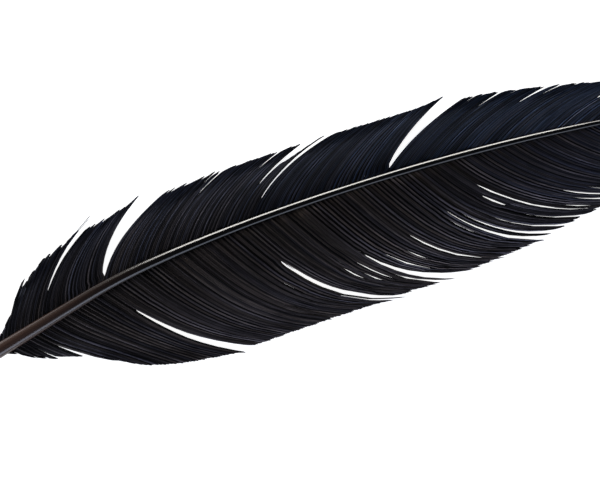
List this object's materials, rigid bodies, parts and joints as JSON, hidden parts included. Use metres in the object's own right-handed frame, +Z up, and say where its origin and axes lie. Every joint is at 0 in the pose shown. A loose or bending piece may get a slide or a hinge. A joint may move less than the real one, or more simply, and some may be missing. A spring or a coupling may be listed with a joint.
{
  "type": "quill pen",
  "caption": "Black feather quill pen with a curved plume, a turned wooden grip, a brass ferrule and a pull-out steel dip nib.",
  "frame": {"origin": "centre of the bounding box, on the surface that the pen lies on", "axes": "+X along the barrel from the nib towards the plume, +Y towards the narrow leading vane, +Z up, away from the feather's smooth upper side"},
  "size_m": [0.3506, 0.0792, 0.0084],
  "materials": {
    "keratin": "dark horn, semi-gloss",
    "pith": "matt foam-like pith",
    "vane": "black barbs with a silky sheen",
    "ebonised_wood": "satin lacquer over black-stained hardwood",
    "brass": "turned, lightly tarnished",
    "spring_steel": "bright rolled sheet",
    "bronzed_steel": "bronzed sheet steel, darker along the slit"
  },
  "bodies": {
    "pen": {"quill_shaft": "keratin", "pith_core": "pith", "leading_vane_1": "vane", "leading_vane_2": "vane", "leading_vane_3": "vane", "leading_vane_4": "vane", "leading_vane_5": "vane", "leading_vane_6": "vane", "trailing_vane_1": "vane", "trailing_vane_2": "vane", "trailing_vane_3": "vane", "trailing_vane_4": "vane", "trailing_vane_5": "vane", "trailing_vane_6": "vane", "trailing_vane_7": "vane", "grip": "ebonised_wood", "rear_ring": "brass", "ferrule": "brass", "nib_clip": "spring_steel"},
    "nib": {"nib": "bronzed_steel"}
  },
  "joints": [
    {"name": "nib_slide", "type": "slide", "parent": "pen", "child": "nib", "axis": [-1, 0, 0], "range_m": [0, 0.012]}
  ]
}
